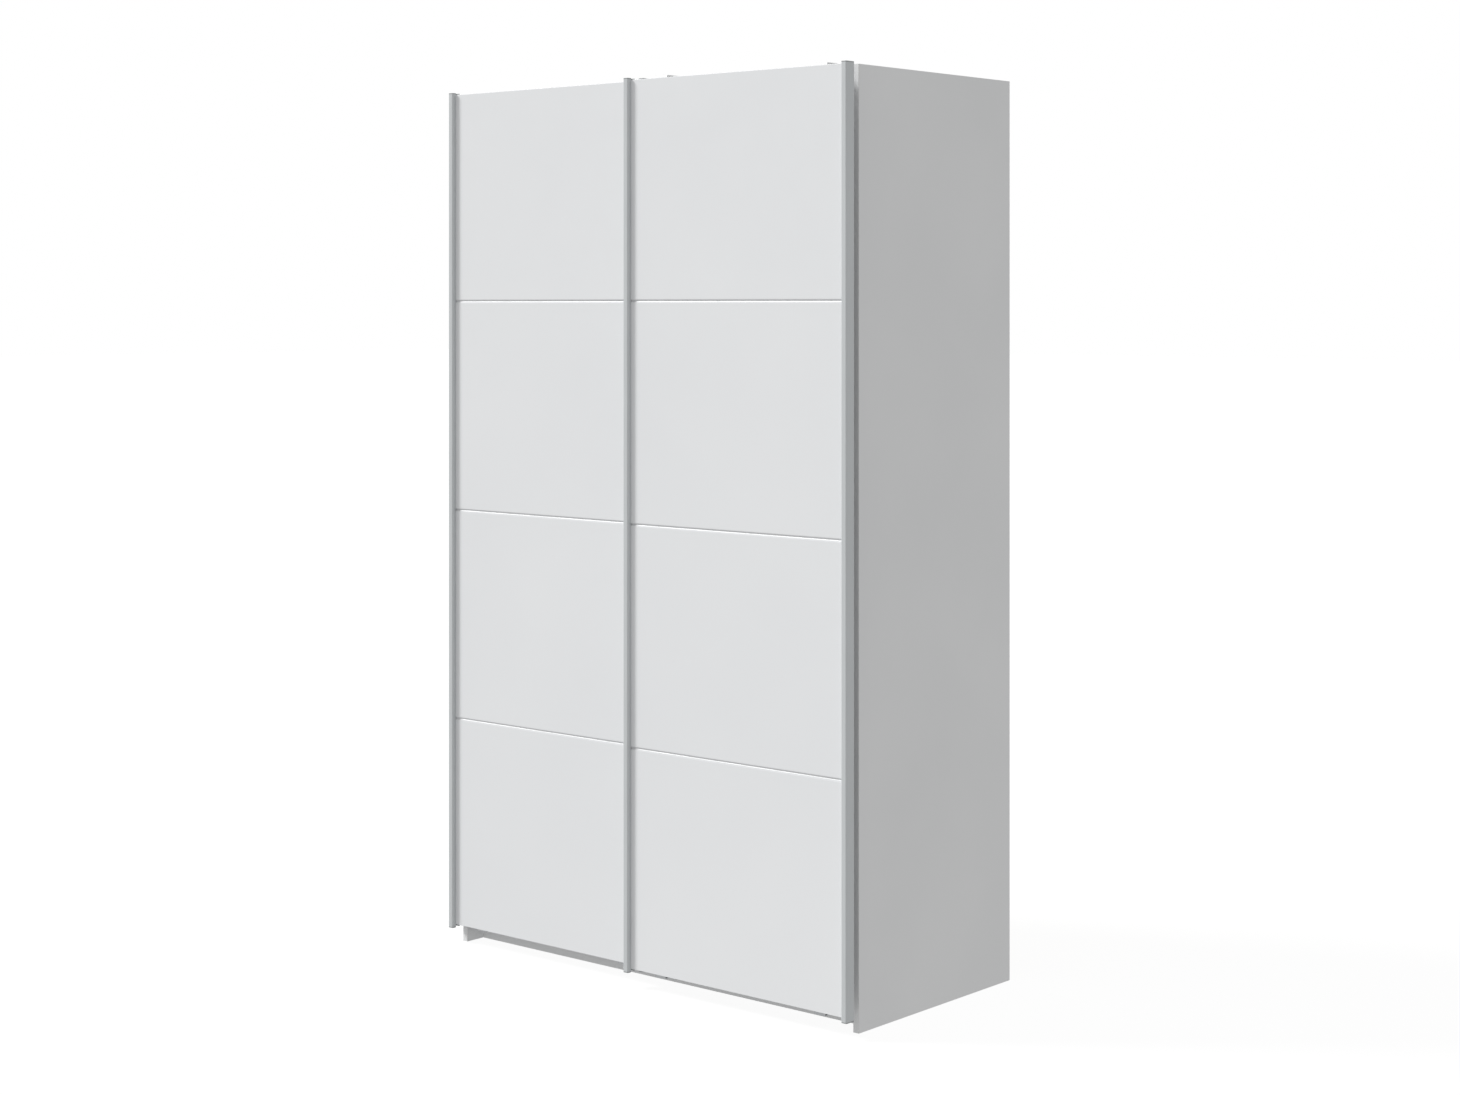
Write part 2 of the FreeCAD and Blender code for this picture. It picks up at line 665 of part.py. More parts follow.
def door_board_solid(left_x, gap, tag):
    """Board with level grooves, rebates for the strips and pockets for hangers and guides."""
    back = door_y(gap)
    face = back - door_board
    right_x = left_x + door_width
    solid = block(left_x + strip_wall, right_x - strip_wall, face, back, door_bottom_z, door_top_z)
    level = [e for e in solid.Edges if e.BoundBox.XLength > door_width / 2]
    solid = solid.makeFillet(edge_round, [e for e in level if abs(e.BoundBox.YMin - face) < 1e-6])
    tools = []
    below = door_bottom_z - slack
    above = door_top_z + slack
    for edge_x, sign in ((left_x, 1), (right_x, -1)):
        a, b = sorted((edge_x, edge_x + sign * strip_back_lap))
        tools.append(block(a, b, back - strip_wall, back + slack, below, above))
    grooves = panels_per_door - 1
    field = (door_top_z - door_bottom_z - grooves * groove_width) / panels_per_door
    for k in range(1, panels_per_door):
        z = door_bottom_z + (field + groove_width) * k - groove_width / 2
        tools.append(groove_tool(left_x, face, z))
    for plate_x in door_plate_xs:
        x = left_x + plate_x
        h = hanger_width / 2 + pocket_gap
        g = guide_width / 2 + pocket_gap
        top_low = door_top_z - hanger_reach_down - pocket_gap
        foot_high = door_bottom_z + guide_reach_up + pocket_gap
        tools.append(block(x - h, x + h, back - hanger_sheet, back + slack, top_low, above))
        tools.append(block(x - g, x + g, back - guide_sheet, back + slack, below, foot_high))
    return cut(solid, tools + holes.get(tag + "_panel", []))


def hanger_axle(x, leg_back_y, wheel_y, foot_y):
    """Riveted axle: a collar up to the wheel, a running length in it, and the rivet's head."""
    centre = front_y + wheel_y
    half = wheel_width / 2
    collar_end = centre - half - wheel_side_gap
    run_end = centre + half + wheel_side_gap
    collar = rod(vector(x, leg_back_y, axle_z), vector(x, collar_end, axle_z), collar_r)
    run = rod(vector(x, foot_y, axle_z), vector(x, run_end + rivet_head / 2, axle_z), axle_r)
    head = rod(vector(x, run_end, axle_z), vector(x, run_end + rivet_head, axle_z), collar_r)
    return [collar, run, head]


def hanger(x, gap, wheel_y, over_the_top):
    """Sheet steel hanger let into the door's back; the right door's reach over the left door."""
    back = door_y(gap)
    inner = back - hanger_sheet
    half = hanger_width / 2
    z0 = door_top_z - hanger_reach_down
    if not over_the_top:
        z1 = axle_z + hanger_over_axle
        plate = block(x - half, x + half, inner, back, z0, z1)
        return fuse([plate] + hanger_axle(x, back, wheel_y, inner))
    z1 = arm_z + hanger_sheet
    leg_front = front_y + wheel_y - wheel_width / 2 - arm_behind_wheel - hanger_sheet
    leg_back = leg_front + hanger_sheet
    plate = block(x - half, x + half, inner, back, z0, z1)
    arm = block(x - half, x + half, inner, leg_back, arm_z, z1)
    leg = block(x - half, x + half, leg_front, leg_back, axle_z - hanger_under_axle, z1)
    sheet = fuse([plate, arm, leg])
    bends = [edge for edge in sheet.Edges
             if edge.BoundBox.ZMin > z1 - slack and edge.BoundBox.XLength > hanger_width - slack]
    bent = sheet.makeFillet(hanger_bend, bends)
    return fuse([bent] + hanger_axle(x, leg_back, wheel_y, leg_front))


def grooved_wheel(x, wheel_y):
    """Nylon wheel turned about its axle, with a groove that sits over the rib."""
    centre = front_y + wheel_y
    half = wheel_width / 2
    seat = rib_width / 2 + rib_side_gap
    lip = seat + wheel_flange_slope
    web = half - wheel_web_recess
    hub_r = wheel_hub_r
    rim_r = wheel_roll_r - wheel_rim
    c = wheel_bevel
    near_half = [(wheel_roll_r, seat), (wheel_r, lip), (wheel_r, half - c), (wheel_r - c, half),
                 (rim_r, half), (rim_r - c, web), (hub_r + c, web), (hub_r, half),
                 (axle_r + axle_gap, half)]
    far_half = [(r, -w) for r, w in reversed(near_half)]
    points = [vector(x + r, centre + w, axle_z) for r, w in near_half + far_half]
    outline = Part.makePolygon(points + [points[0]])
    return Part.Face(outline).revolve(vector(x, 0, axle_z), vector(0, 1, 0), 360)


def guide(x, gap, arm_bottom, channel):
    """Angle on the door's back and the nylon block that it carries in a channel."""
    back = door_y(gap)
    inner = back - guide_sheet
    half = guide_width / 2
    first_channel = front_y + guide_front + guide_wall + guide_channel / 2
    channel_mid = first_channel + channel * (guide_wall + guide_channel)
    block_half = guide_channel / 2 - guide_block_gap
    arm_end = channel_mid + block_half
    plate = block(x - half, x + half, inner, back, arm_bottom, door_bottom_z + guide_reach_up)
    arm = block(x - half, x + half, inner, arm_end, arm_bottom, arm_bottom + guide_sheet)
    top = bottom_panel_z - guide_base - guide_block_top_gap
    pad = block(x - half, x + half, channel_mid - block_half, arm_end, arm_bottom + guide_sheet, top)
    ends = [e for e in pad.Edges if e.BoundBox.ZLength > 1]
    return fuse([plate, arm]), pad.makeFillet(guide_block_round, ends)


def build_door(tag, left_x, gap, wheel_y, over_the_top, arm_bottom, channel):
    """One door with everything that travels with it, and its two wheels."""
    back = door_y(gap)
    forward = vector(0, -1, 0)
    for number, plate_x in enumerate(door_plate_xs, start=1):
        x = left_x + plate_x
        hanger_holes = []
        foot = door_top_z - hanger_reach_down
        for aside, up in ((-hanger_screw_aside, hanger_low_screw), (hanger_screw_aside, hanger_low_screw),
                          (0, hanger_high_screw)):
            head = vector(x + aside, back, foot + up)
            add(tag + "_hanger_screws", screw(head, forward, tag + "_panel", hanger_holes))
        add(tag + "_hangers", cut(hanger(x, gap, wheel_y, over_the_top), hanger_holes))
        add("%s_wheel_%d" % (tag, number), grooved_wheel(x, wheel_y))
        guide_holes = []
        for aside in (-guide_screw_aside, guide_screw_aside):
            head = vector(x + aside, back, door_bottom_z + guide_screw_up)
            add(tag + "_guide_screws", screw(head, forward, tag + "_panel", guide_holes))
        angle, pad = guide(x, gap, arm_bottom, channel)
        add(tag + "_guides", cut(angle, guide_holes))
        add(tag + "_guide_blocks", pad)
    right_x = left_x + door_width
    for edge_x, sign, place in ((left_x, 1, "left"), (right_x, -1, "right")):
        add("%s_strip_%s" % (tag, place), edge_strip(edge_x, sign, gap))
        add(tag + "_strip_caps", *strip_caps(edge_x, sign, gap))
    add(tag + "_panel", door_board_solid(left_x, gap, tag))
    holes.pop(tag + "_panel", None)


# ---- wall brackets

def build_wall_brackets():
    """Angles on the top panel that hold the wardrobe to a wall."""
    sheet = bracket_sheet
    z0 = top_surface_z
    for sign in (-1, 1):
        x = sign * bracket_x
        half = bracket_width / 2
        foot = block(x - half, x + half, rear_y - bracket_leg, rear_y, z0, z0 + sheet)
        leg = block(x - half, x + half, rear_y - sheet, rear_y, z0, z0 + bracket_leg)
        hole_z = z0 + bracket_hole_up
        bore_start = vector(x, rear_y - sheet - slack, hole_z)
        plate_holes = [rod(bore_start, vector(x, rear_y + slack, hole_z), bracket_hole_r)]
        for aside in (-bracket_screw_aside, bracket_screw_aside):
            head = vector(x + aside, rear_y - bracket_screw_in, z0 + sheet)
            add("wall_bracket_screws", screw(head, vector(0, 0, -1), "top_panel", plate_holes))
        add("wall_brackets", cut(fuse([foot, leg]), plate_holes))


def write_nodes():
    os.makedirs("parts", exist_ok=True)
    for name, solids in nodes.items():
        if name in holes:
            solids = [cut(s, holes[name]) for s in solids]
        pieces = [p for s in solids for p in s.Solids]
        shape = pieces[0] if len(pieces) == 1 else Part.makeCompound(pieces)
        if not shape.isValid():
            raise ValueError("not a valid shape: " + name)
        shape.exportStep("parts/%s.step" % name)
        box = shape.BoundBox
        corners = (box.XMin, box.XMax, box.YMin, box.YMax, box.ZMin, box.ZMax)
        print(name, len(pieces), [round(v, 1) for v in corners])


build_carcass()
build_carcass_fittings()
build_back()
build_hat_side()
build_shelves()
build_running_rail()
build_guide_rail()
build_door("left_door", -doors_half, inner_door_gap, inner_wheel_y, False, inner_arm_z, 0)
build_door("right_door", doors_half - door_width, outer_door_gap, outer_wheel_y, True, outer_arm_z, 1)
build_wall_brackets()
write_nodes()
print("travel", travel, "nodes", len(nodes))
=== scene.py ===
import math

import bpy
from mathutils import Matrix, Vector

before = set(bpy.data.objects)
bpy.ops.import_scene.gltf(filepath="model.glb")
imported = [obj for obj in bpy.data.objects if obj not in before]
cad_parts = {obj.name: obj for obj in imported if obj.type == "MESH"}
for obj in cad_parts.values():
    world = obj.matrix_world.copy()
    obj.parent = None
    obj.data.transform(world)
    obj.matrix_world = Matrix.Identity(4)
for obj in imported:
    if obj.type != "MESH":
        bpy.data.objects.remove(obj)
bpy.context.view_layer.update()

scene = bpy.context.scene

# ---- Where the wardrobe is seen from
# Someone standing off its right front corner looks level at it from chest height. The frame is
# shifted down and not tilted, so that upright edges stay upright. Metres.
eye = Vector((3.829, -4.427, 1.514))
tipped_up = math.radians(90)    # from looking straight down to looking level
turned_left = math.radians(40.62)
lens_mm = 62.67
film_mm = 36.0
frame_shifted_down = 0.1662     # share of the frame's width

lens = bpy.data.cameras.new("viewpoint")
lens.sensor_width = film_mm
lens.lens = lens_mm
lens.shift_y = -frame_shifted_down
viewpoint = bpy.data.objects.new("viewpoint", lens)
viewpoint.location = eye
viewpoint.rotation_euler = (tipped_up, 0, turned_left)
scene.collection.objects.link(viewpoint)
scene.camera = viewpoint

# ---- Studio
# A white room whose floor and walls give an even light without shadows, and one broad lamp high
# on the left front, which throws the strips' shadows on to the doors.
floor_half = 60.0
paper_white = (1, 1, 1, 1)
room_light = 0.56               # light from all round on a white board, where paper white is 1
lamp_on_doors = 0.35            # what the lamp adds on the doors' fronts
lamp_from = Vector((-1.65, -1.0, 1.65)).normalized()
lamp_softness = math.radians(16)
floor_own_light = 0.93
floor_white = 0.10              # how much of the lamp's light and shadow the floor shows


def by_sight(tree, unseen, seen):
    """One shader for the light that falls on the wardrobe, another for the room behind it."""
    path = tree.nodes.new("ShaderNodeLightPath")
    choice = tree.nodes.new("ShaderNodeMixShader")
    tree.links.new(path.outputs["Is Camera Ray"], choice.inputs["Fac"])
    tree.links.new(unseen, choice.inputs[1])
    tree.links.new(seen, choice.inputs[2])
    return choice.outputs["Shader"]


corners = [(x * floor_half, y * floor_half, 0) for x, y in ((-1, -1), (1, -1), (1, 1), (-1, 1))]
floor_mesh = bpy.data.meshes.new("studio_floor")
floor_mesh.from_pydata(corners, [], [(0, 1, 2, 3)])
floor = bpy.data.objects.new("studio_floor", floor_mesh)
scene.collection.objects.link(floor)
floor_paint = bpy.data.materials.new("studio_floor")
floor_paint.use_nodes = True
floor_tree = floor_paint.node_tree
floor_seen = floor_tree.nodes["Principled BSDF"]
floor_seen.inputs["Base Color"].default_value = (floor_white, floor_white, floor_white, 1)
floor_seen.inputs["Roughness"].default_value = 1.0
floor_seen.inputs["Specular IOR Level"].default_value = 0.0
floor_seen.inputs["Emission Color"].default_value = paper_white
floor_seen.inputs["Emission Strength"].default_value = floor_own_light
floor_glow = floor_tree.nodes.new("ShaderNodeEmission")
floor_glow.inputs["Strength"].default_value = room_light
floor_look = by_sight(floor_tree, floor_glow.outputs["Emission"], floor_seen.outputs["BSDF"])
floor_tree.links.new(floor_look, floor_tree.nodes["Material Output"].inputs["Surface"])
floor_mesh.materials.append(floor_paint)

room = bpy.data.worlds.new("studio")
room.use_nodes = True
walls = room.node_tree
wall_glow = walls.nodes["Background"]
wall_glow.inputs["Color"].default_value = paper_white
wall_glow.inputs["Strength"].default_value = room_light
wall_seen = walls.nodes.new("ShaderNodeBackground")
wall_seen.inputs["Color"].default_value = paper_white
wall_look = by_sight(walls, wall_glow.outputs["Background"], wall_seen.outputs["Background"])
walls.links.new(wall_look, walls.nodes["World Output"].inputs["Surface"])
scene.world = room

lamp_data = bpy.data.lights.new("left_lamp", "SUN")
lamp_data.angle = lamp_softness
lamp_data.energy = math.pi * lamp_on_doors / -lamp_from.y
lamp = bpy.data.objects.new("left_lamp", lamp_data)
lamp.rotation_euler = lamp_from.to_track_quat("Z", "Y").to_euler()
scene.collection.objects.link(lamp)

scene.view_settings.view_transform = "Standard"

# ---- Carcass boards
# Chipboard faced with white melamine, which has a very fine pearl emboss under a low sheen. Seen
# edges carry a smooth white band; bores, rear edges and feet show the sawn chips.
melamine_white = ((0.775, 0.782, 0.786), (0.802, 0.808, 0.811))
melamine_roughness = (0.46, 0.54)
melamine_clouds_per_metre = 3.0
sheen_clouds_per_metre = 25.0
pearls_per_metre = 900.0
pearl_height = 0.00006
band_white = ((0.790, 0.797, 0.801), (0.812, 0.818, 0.820))
band_roughness = (0.34, 0.40)
band_relief = (0.5, 0.6)        # shares of the pearls' height
band_clouds_per_metre = 12.0
sawn_chips = ((0.21, 0.135, 0.075), (0.46, 0.335, 0.20), (0.66, 0.53, 0.36))
sawn_roughness = (0.80, 0.90)
chips_per_metre = 380.0
chip_height = 0.00025
grainy = 4.0                    # octaves of finer grains within a pattern's spots
face_skin = 0.015               # share of a board's thickness that counts as its face
squarely = 0.7                  # least cosine at which a face counts as looking one way


def bare_surface(name):
    """An empty material, its node tree and its Principled shader."""
    material = bpy.data.materials.new(name)
    material.use_nodes = True
    return material, material.node_tree, material.node_tree.nodes["Principled BSDF"]


def spots(tree, per_metre, fineness=2.0, stretch=(1, 1, 1)):
    """A cloudy pattern in the piece's own metres; a small stretch draws it out along an axis."""
    place = tree.nodes.new("ShaderNodeTexCoord")
    pull = tree.nodes.new("ShaderNodeMapping")
    pull.inputs["Scale"].default_value = stretch
    cloud = tree.nodes.new("ShaderNodeTexNoise")
    cloud.inputs["Scale"].default_value = per_metre
    cloud.inputs["Detail"].default_value = fineness
    tree.links.new(place.outputs["Object"], pull.inputs["Vector"])
    tree.links.new(pull.outputs["Vector"], cloud.inputs["Vector"])
    return cloud.outputs["Fac"]


def shades(tree, pattern, *steps):
    """Colours or greys from darkest to lightest, spread over the middle of a pattern."""
    lowest, highest = 0.32, 0.68
    band = tree.nodes.new("ShaderNodeValToRGB")
    stops = band.color_ramp.elements
    while len(stops) < len(steps):
        stops.new(highest)
    for k, colour in enumerate(steps):
        stops[k].position = lowest + (highest - lowest) * k / (len(steps) - 1)
        stops[k].color = (*colour, 1) if isinstance(colour, tuple) else (colour, colour, colour, 1)
    tree.links.new(pattern, band.inputs["Fac"])
    return band.outputs["Color"]


def lay_on(tree, shader, look, height):
    """Give a shader its colour, its roughness and a relief that is so many metres high."""
    colour, roughness, relief = look
    bump = tree.nodes.new("ShaderNodeBump")
    bump.inputs["Distance"].default_value = height
    tree.links.new(relief, bump.inputs["Height"])
    tree.links.new(bump.outputs["Normal"], shader.inputs["Normal"])
    tree.links.new(colour, shader.inputs["Base Color"])
    tree.links.new(roughness, shader.inputs["Roughness"])


def where(tree, share, elsewhere, there):
    """One look where share is 0, another where it is 1, each part of it in turn."""
    blended = []
    for off, on in zip(elsewhere, there):
        node = tree.nodes.new("ShaderNodeMix")
        node.data_type = "RGBA"
        tree.links.new(share, node.inputs["Factor"])
        tree.links.new(off, node.inputs["A"])
        tree.links.new(on, node.inputs["B"])
        blended.append(node.outputs["Result"])
    return blended


def reckon(tree, operation, first, second=0):
    """A sum on a value and a number, or on two values."""
    node = tree.nodes.new("ShaderNodeMath")
    node.operation = operation
    tree.links.new(first, node.inputs[0])
    if isinstance(second, (int, float)):
        node.inputs[1].default_value = second
    else:
        tree.links.new(second, node.inputs[1])
    return node.outputs[0]


def along(tree, source, axis):
    """One axis of a piece's normal or of its box, which runs from 0 to 1."""
    place = tree.nodes.new("ShaderNodeTexCoord")
    parts = tree.nodes.new("ShaderNodeSeparateXYZ")
    tree.links.new(place.outputs[source], parts.inputs["Vector"])
    return parts.outputs["XYZ".index(axis)]


def looking(tree, side):
    """1 on the faces that look one way, such as -Y; 0 elsewhere."""
    sign = -1 if side[0] == "-" else 1
    towards = reckon(tree, "MULTIPLY", along(tree, "Normal", side[-1]), sign)
    return reckon(tree, "GREATER_THAN", towards, squarely)


def any_side(tree, sides):
    """1 on the faces that look one of several ways."""
    found = looking(tree, sides[0])
    for side in sides[1:]:
        found = reckon(tree, "MAXIMUM", found, looking(tree, side))
    return found


def between_faces(tree, thickness):
    """1 inside a board's thickness, as on its edges and in its bores; 0 on its two faces."""
    from_middle = reckon(tree, "SUBTRACT", along(tree, "Generated", thickness), 0.5)
    return reckon(tree, "LESS_THAN", reckon(tree, "ABSOLUTE", from_middle), 0.5 - face_skin)


def dress(material, slot, *names):
    """Give CAD nodes a material. The finish's name, slot, is not used."""
    for name in names:
        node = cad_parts[name]
        node.data.materials.clear()
        node.data.materials.append(material)


def melamine_board(name, thickness, *banded):
    """Melamine on both faces, a band on the sides named, and chips on what is left."""
    material, tree, shader = bare_surface(name)
    sheen = spots(tree, sheen_clouds_per_metre)
    chips = spots(tree, chips_per_metre, grainy)
    face = (shades(tree, spots(tree, melamine_clouds_per_metre), *melamine_white),
            shades(tree, sheen, *melamine_roughness),
            spots(tree, pearls_per_metre, grainy))
    edge = (shades(tree, chips, *sawn_chips),
            shades(tree, chips, *sawn_roughness),
            reckon(tree, "MULTIPLY", chips, chip_height / pearl_height))
    if banded:
        band = (shades(tree, spots(tree, band_clouds_per_metre), *band_white),
                shades(tree, sheen, *band_roughness),
                shades(tree, sheen, *band_relief))
        edge = where(tree, any_side(tree, banded), edge, band)
    lay_on(tree, shader, where(tree, between_faces(tree, thickness), face, edge), pearl_height)
    return material


dress(melamine_board("melamine_sides", "X", "-Y", "Z"), "carcass_board",
      "side_panel_left", "side_panel_right")
dress(melamine_board("melamine_upright", "X", "-Y"), "carcass_board",
      "centre_partition", "plinth_support")
dress(melamine_board("melamine_level", "Z", "-Y"), "carcass_board", "top_panel", "bottom_panel",
      "hat_shelf", "shelf_1", "shelf_2", "shelf_3", "shelf_4")
dress(melamine_board("melamine_plinth", "Y"), "carcass_board", "plinth_front", "plinth_rear")

# ---- Cams and dowels
# Die-cast zinc cams sunk in the boards pull on the steel bolts. Beech dowels keep the boards in
# line while that is done.
cam_greys = ((0.44, 0.45, 0.47), (0.58, 0.59, 0.61))
raw_beech = ((0.48, 0.315, 0.18), (0.60, 0.42, 0.25), (0.70, 0.51, 0.32))
beech_roughness = (0.66, 0.76)
beech_grain_per_metre = 700.0
beech_grain_height = 0.0001
scuffs_per_metre = 1600.0
scuff_height = 0.00002
flower_sheen = 0.14             # how much rougher the lightest flowers are than the darkest


def zinc(name, greys, smoothest, flowers_per_metre=150.0):
    """Zinc, plated or cast: a cool silver with cloudy flowers and very fine scuffs."""
    material, tree, shader = bare_surface(name)
    flowers = spots(tree, flowers_per_metre)
    look = (shades(tree, flowers, *greys),
            shades(tree, flowers, smoothest, smoothest + flower_sheen),
            spots(tree, scuffs_per_metre, grainy))
    lay_on(tree, shader, look, scuff_height)
    shader.inputs["Metallic"].default_value = 1.0
    return material


def beech():
    """Raw beech with a long fine grain."""
    material, tree, shader = bare_surface("raw_beech")
    grain = spots(tree, beech_grain_per_metre, fineness=5.0, stretch=(0.08, 1, 1))
    look = (shades(tree, grain, *raw_beech), shades(tree, grain, *beech_roughness), grain)
    lay_on(tree, shader, look, beech_grain_height)
    return material


dress(zinc("cast_zinc", cam_greys, 0.42, flowers_per_metre=400.0), "cam_zinc", "cam_discs")
dress(beech(), "beech_dowel", "dowels")

# ---- Back panels
# Two sheets of thin hardboard, white lacquered inside and bare brown fibre outside, let into the
# sides' rebates and nailed on.
bare_fibre = ((0.25, 0.155, 0.08), (0.38, 0.255, 0.14), (0.50, 0.365, 0.22))
bare_fibre_roughness = (0.74, 0.86)
back_lacquer = ((0.755, 0.76, 0.755), (0.785, 0.79, 0.785))
lacquer_roughness = (0.50, 0.58)
lacquer_clouds_per_metre = 4.0
lacquer_sheen_per_metre = 30.0
pressed_fibres_per_metre = 260.0
press_mesh_per_metre = 700.0
press_mesh_share = 0.5          # the mesh's relief against the fibres'
pressed_height = 0.0001


def hardboard():
    """Pressed fibre, with lacquer on the side that looks into the wardrobe."""
    material, tree, shader = bare_surface("lacquered_hardboard")
    fibres = spots(tree, pressed_fibres_per_metre, fineness=6.0)
    mesh = reckon(tree, "MULTIPLY", spots(tree, press_mesh_per_metre), press_mesh_share)
    bare = (shades(tree, fibres, *bare_fibre), shades(tree, fibres, *bare_fibre_roughness))
    lacquered = (shades(tree, spots(tree, lacquer_clouds_per_metre), *back_lacquer),
                 shades(tree, spots(tree, lacquer_sheen_per_metre), *lacquer_roughness))
    colour, roughness = where(tree, looking(tree, "-Y"), bare, lacquered)
    lay_on(tree, shader, (colour, roughness, reckon(tree, "ADD", fibres, mesh)), pressed_height)
    return material


dress(hardboard(), "back_hardboard", "back_panel_left", "back_panel_right")

# ---- Back joining strip
# White plastic, extruded with a groove along each side that the two sheets slide into. The die
# leaves faint lines up its length.
strip_plastic = ((0.775, 0.775, 0.765), (0.825, 0.825, 0.815))
strip_plastic_roughness = (0.32, 0.42)
die_lines_per_metre = 500.0
die_line_height = 0.00004


def white_extrusion():
    """White plastic with die lines along Z."""
    material, tree, shader = bare_surface("white_extruded_plastic")
    lines = spots(tree, die_lines_per_metre, fineness=3.0, stretch=(1, 1, 0.01))
    look = (shades(tree, lines, *strip_plastic),
            shades(tree, lines, *strip_plastic_roughness),
            lines)
    lay_on(tree, shader, look, die_line_height)
    return material


dress(white_extrusion(), "white_plastic", "back_joint_strip")

# ---- Doors
# Fibreboard wrapped in white foil. The foil is pressed down into the three grooves that part each
# door into fields, and there its colour is painted darker as painted shade. Pockets milled in the
# back show the fibre.
foil_white = ((0.800, 0.811, 0.822), (0.818, 0.828, 0.837))
foil_clouds_per_metre = 2.2
# Painted shade: the foil's colour in the grooves, darker than on the flat fields.
groove_shaded_white = ((0.640, 0.650, 0.659), (0.670, 0.679, 0.688))
groove_clouds_per_metre = 60.0
foil_roughness = (0.36, 0.44)
foil_sheen_per_metre = 18.0
orange_peel_per_metre = 420.0
milled_fibre = ((0.40, 0.29, 0.18), (0.50, 0.38, 0.25), (0.57, 0.45, 0.31))
milled_roughness = (0.8, 0.9)
milled_fibres_per_metre = 900.0
door_relief_height = 0.00004


def door_foil():
    """Foil on the front, the back and the board's ends; bare fibre where it is milled away."""
    material, tree, shader = bare_surface("white_door_foil")
    inset = between_faces(tree, "Y")
    wrapped = any_side(tree, ("-Y", "Z", "-Z"))
    milled = reckon(tree, "GREATER_THAN", reckon(tree, "SUBTRACT", inset, wrapped), 0.5)
    # Painted shade: a darker white in the grooves and on part of the rounded front edges.
    in_groove = reckon(tree, "MULTIPLY", inset, looking(tree, "-Y"))
    flat = shades(tree, spots(tree, foil_clouds_per_metre), *foil_white)
    groove_shade = shades(tree, spots(tree, groove_clouds_per_metre), *groove_shaded_white)
    foil_colour, = where(tree, in_groove, [flat], [groove_shade])
    fibre = spots(tree, milled_fibres_per_metre, fineness=5.0)
    foil = (foil_colour,
            shades(tree, spots(tree, foil_sheen_per_metre), *foil_roughness),
            spots(tree, orange_peel_per_metre, fineness=3.0))
    bare = (shades(tree, fibre, *milled_fibre), shades(tree, fibre, *milled_roughness), fibre)
    lay_on(tree, shader, where(tree, milled, foil, bare), door_relief_height)
    return material


dress(door_foil(), "door_board", "left_door_panel", "right_door_panel")

# ---- Edge strips and their caps
# Extruded aluminium pressed over the doors' long edges and anodised a satin grey; the hollow bead
# is the grip. Grey moulded caps are plugged into its two ends.
strip_grey = ((0.565, 0.588, 0.596), (0.625, 0.646, 0.654))
cap_grey = ((0.34, 0.355, 0.36), (0.38, 0.395, 0.40))
lines_per_metre = 1800.0
line_height = 0.00002
line_share = 0.75               # how much of the colour follows the lines, and not the clouds
anodising_clouds_per_metre = 6.0
drawn_out = 0.01                # how far apart the drawing lines are, against how far they run
moulding_clouds_per_metre = 40.0
uneven_sheen = 0.1              # from the smoothest spots to the roughest


def anodised(name, run, greys, metal, smoothest):
    """Extruded aluminium with fine drawing lines along one axis under its anodising."""
    material, tree, shader = bare_surface(name)
    stretch = tuple(drawn_out if axis == run else 1 for axis in "XYZ")
    lines = spots(tree, lines_per_metre, grainy, stretch)
    clouds = spots(tree, anodising_clouds_per_metre)
    uneven = reckon(tree, "ADD", reckon(tree, "MULTIPLY", lines, line_share),
                    reckon(tree, "MULTIPLY", clouds, 1 - line_share))
    look = (shades(tree, uneven, *greys),
            shades(tree, lines, smoothest, smoothest + uneven_sheen),
            lines)
    lay_on(tree, shader, look, line_height)
    shader.inputs["Metallic"].default_value = metal
    return material


def moulded(name, colours, smoothest, grains_per_metre=1400.0, grain_height=0.00005):
    """Moulded plastic or rubber, with the fine grain of its tool."""
    material, tree, shader = bare_surface(name)
    grains = spots(tree, grains_per_metre, fineness=3.0)
    look = (shades(tree, spots(tree, moulding_clouds_per_metre), *colours),
            shades(tree, grains, smoothest, smoothest + uneven_sheen),
            grains)
    lay_on(tree, shader, look, grain_height)
    return material


dress(anodised("grey_anodised", "Z", strip_grey, metal=0.2, smoothest=0.40), "edge_strip",
      "left_door_strip_left", "left_door_strip_right",
      "right_door_strip_left", "right_door_strip_right")
dress(moulded("grey_cap_plastic", cap_grey, smoothest=0.45), "strip_cap",
      "left_door_strip_caps", "right_door_strip_caps")

# ---- Running rail, guide rail and end stops
# Natural anodised aluminium extrusions, screwed on top of the top panel and under the front of
# the bottom one. Black rubber stops are pushed over the ribs at the running rail's ends.
rail_silver = ((0.66, 0.67, 0.68), (0.76, 0.77, 0.78))
rubber_black = ((0.030, 0.030, 0.031), (0.048, 0.048, 0.050))

dress(anodised("natural_anodised", "X", rail_silver, metal=0.9, smoothest=0.28),
      "rail_aluminium", "running_rail", "guide_rail")
dress(moulded("black_rubber", rubber_black, smoothest=0.66, grains_per_metre=900.0,
              grain_height=0.0001),
      "stop_rubber", "rail_end_stops")

# ---- Door hangers
# Thick sheet steel, bent and punched, then powder coated white so that the arms which reach over
# the doors do not show. The coat has a fine orange peel.
coat_white = ((0.885, 0.89, 0.895), (0.91, 0.915, 0.92))
coat_roughness = (0.34, 0.42)
coat_clouds_per_metre = 30.0
coat_peel_per_metre = 550.0
coat_peel_height = 0.00006
coat_gloss = 0.2
coat_gloss_roughness = 0.25


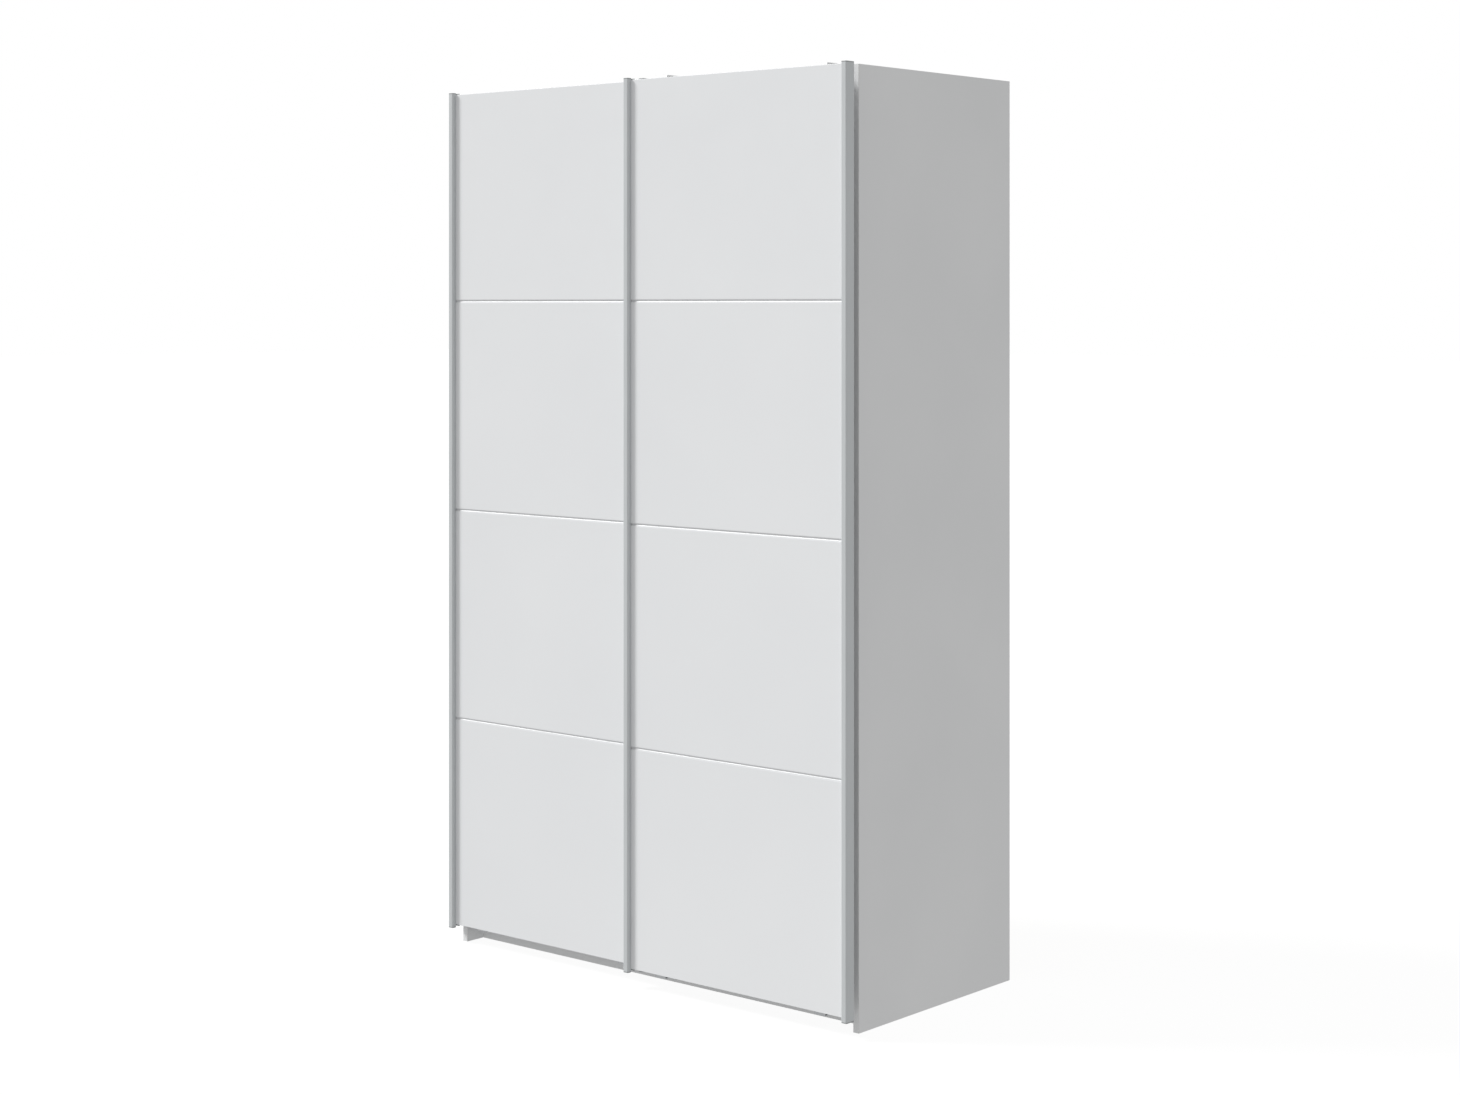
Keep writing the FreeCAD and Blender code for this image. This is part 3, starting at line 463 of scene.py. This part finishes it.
def powder_coat():
    """White powder coat with a fine orange peel."""
    material, tree, shader = bare_surface("white_powder_coat")
    peel = spots(tree, coat_peel_per_metre)
    look = (shades(tree, spots(tree, coat_clouds_per_metre), *coat_white),
            shades(tree, peel, *coat_roughness),
            peel)
    lay_on(tree, shader, look, coat_peel_height)
    shader.inputs["Coat Weight"].default_value = coat_gloss
    shader.inputs["Coat Roughness"].default_value = coat_gloss_roughness
    return material


dress(powder_coat(), "hanger_steel", "left_door_hangers", "right_door_hangers")

# ---- Wheels and guide blocks
# Natural nylon: the wheels have a groove that sits over the rib and turn on the hangers' axles;
# the blocks are moulded on to the guides' arms and run in the lower rail.
nylon_white = ((0.73, 0.72, 0.67), (0.79, 0.78, 0.73))

dress(moulded("natural_nylon", nylon_white, smoothest=0.34, grains_per_metre=1100.0,
              grain_height=0.00003),
      "nylon", "left_door_wheel_1", "left_door_wheel_2", "right_door_wheel_1",
      "right_door_wheel_2", "left_door_guide_blocks", "right_door_guide_blocks")

# ---- Guides, wall brackets, cam bolts, shelf pins and nails
# Pressed or turned from mild steel and bright zinc plated. The plating has faint flowers and the
# scuffs of handling.
bright_greys = ((0.58, 0.60, 0.62), (0.70, 0.71, 0.72))

dress(zinc("bright_zinc_plate", bright_greys, smoothest=0.26), "zinc_plated_steel",
      "left_door_guides", "right_door_guides", "wall_brackets", "cam_bolts", "shelf_pins",
      "back_nails")

# ---- Screws
# Small countersunk screws with a cross recess, driven flush with the sheet that they hold. Their
# plating is a little darker than the sheet's.
screw_greys = ((0.46, 0.47, 0.48), (0.60, 0.60, 0.61))

dress(zinc("screw_zinc_plate", screw_greys, smoothest=0.30, flowers_per_metre=300.0),
      "screw_steel", "running_rail_screws", "guide_rail_screws", "left_door_hanger_screws",
      "right_door_hanger_screws", "left_door_guide_screws", "right_door_guide_screws",
      "wall_bracket_screws", "rail_socket_screws")

# ---- Hanging rail and its sockets
# Chromed steel tube, dropped into two open-topped die-cast sockets that are screwed to the boards.
# Wiping leaves a faint haze along the tube.
chrome_greys = ((0.66, 0.67, 0.68), (0.74, 0.75, 0.76))
haze_height = 0.00001
haze_sheen = 0.07               # how much rougher the haze is than the clear chrome


def chrome(name, clearest, haze_per_metre, stretch):
    """Bright chrome with a faint haze."""
    material, tree, shader = bare_surface(name)
    haze = spots(tree, haze_per_metre, fineness=3.0, stretch=stretch)
    look = (shades(tree, haze, *chrome_greys),
            shades(tree, haze, clearest, clearest + haze_sheen),
            haze)
    lay_on(tree, shader, look, haze_height)
    shader.inputs["Metallic"].default_value = 1.0
    return material


dress(chrome("chromed_tube", clearest=0.08, haze_per_metre=500.0, stretch=(0.05, 1, 1)),
      "chrome_tube", "hanging_rail")
dress(chrome("chromed_casting", clearest=0.18, haze_per_metre=260.0, stretch=(1, 1, 1)),
      "chrome_socket", "rail_sockets")
